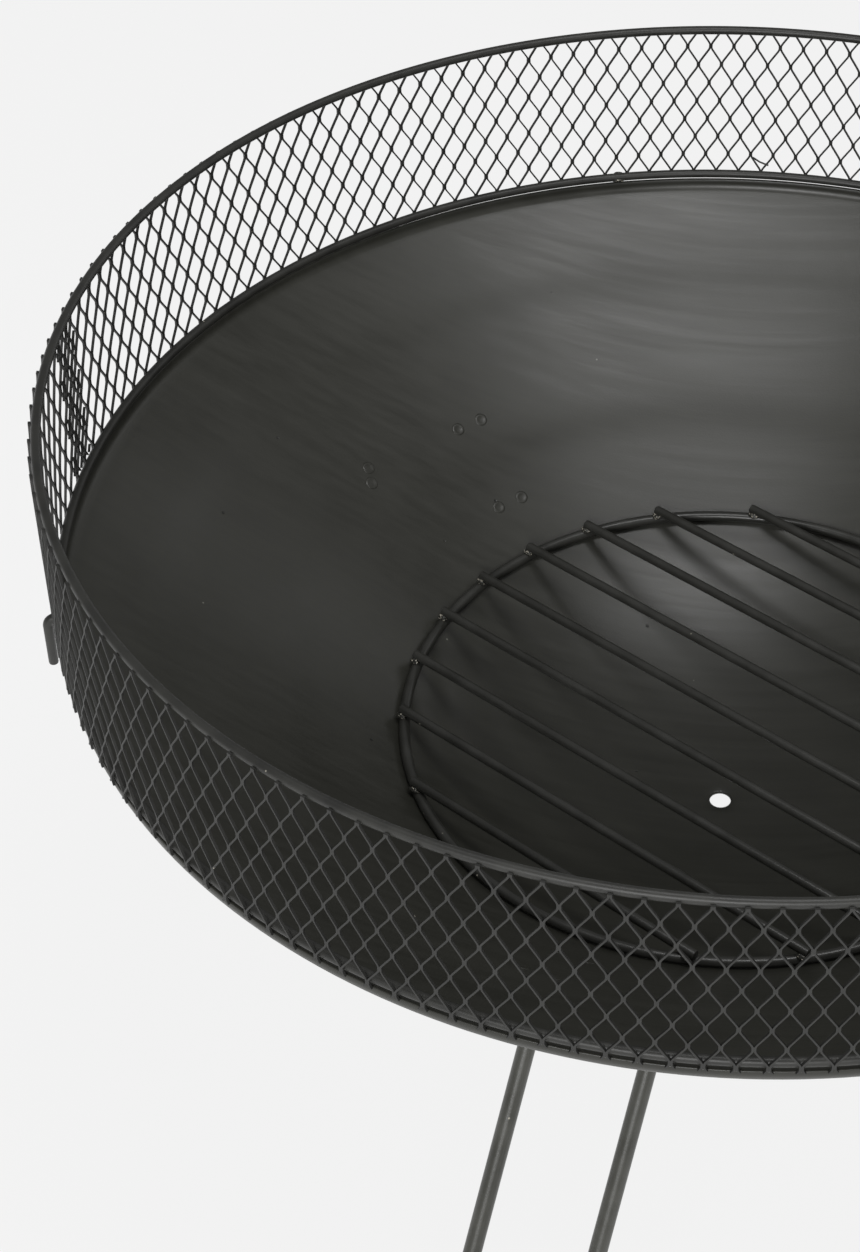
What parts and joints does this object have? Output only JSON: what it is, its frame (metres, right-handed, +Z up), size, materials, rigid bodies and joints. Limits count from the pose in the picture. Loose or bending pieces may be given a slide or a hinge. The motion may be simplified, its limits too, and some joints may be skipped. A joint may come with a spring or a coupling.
{
  "type": "fire pit with grate",
  "caption": "Round steel bowl on splayed bent-rod legs, with a loose round grate inside and a low mesh spark guard that hooks over the rim.",
  "frame": {"origin": "on the ground, under the centre of the bowl", "axes": "+Z up along the bowl's axis; +Y towards the back; leg 1 stands 11 degrees round from +X"},
  "size_m": [0.708, 0.708, 0.5025],
  "materials": {
    "bowl_steel": "dark olive-grey hot-rolled sheet, satin, with faint rolling streaks",
    "leg_steel": "dark grey satin round rod",
    "guard_rod_steel": "dark grey satin round rod with small weld beads",
    "guard_mesh_steel": "dark grey expanded metal, satin",
    "grate_steel": "dark grey satin round rod with bright weld spots"
  },
  "bodies": {
    "pit": {"bowl": "bowl_steel", "leg_bracket_1": "bowl_steel", "leg_bracket_2": "bowl_steel", "leg_bracket_3": "bowl_steel", "leg_1": "leg_steel", "leg_2": "leg_steel", "leg_3": "leg_steel"},
    "guard": {"guard_top_ring": "guard_rod_steel", "guard_bottom_ring": "guard_rod_steel", "guard_hook_1": "guard_rod_steel", "guard_hook_2": "guard_rod_steel", "guard_hook_3": "guard_rod_steel", "guard_hook_4": "guard_rod_steel", "guard_mesh": "guard_mesh_steel"},
    "grate": {"grate_ring": "grate_steel", "grate_bar_1": "grate_steel", "grate_bar_2": "grate_steel", "grate_bar_3": "grate_steel", "grate_bar_4": "grate_steel", "grate_bar_5": "grate_steel", "grate_bar_6": "grate_steel", "grate_bar_7": "grate_steel", "grate_bar_8": "grate_steel", "grate_bar_9": "grate_steel"}
  },
  "joints": [
    {"name": "guard_lift", "type": "slide", "parent": "pit", "child": "guard", "axis": [0, 0, 1], "range_m": [0, 0.15]},
    {"name": "grate_lift", "type": "slide", "parent": "pit", "child": "grate", "axis": [0, 0, 1], "range_m": [0, 0.33]}
  ]
}
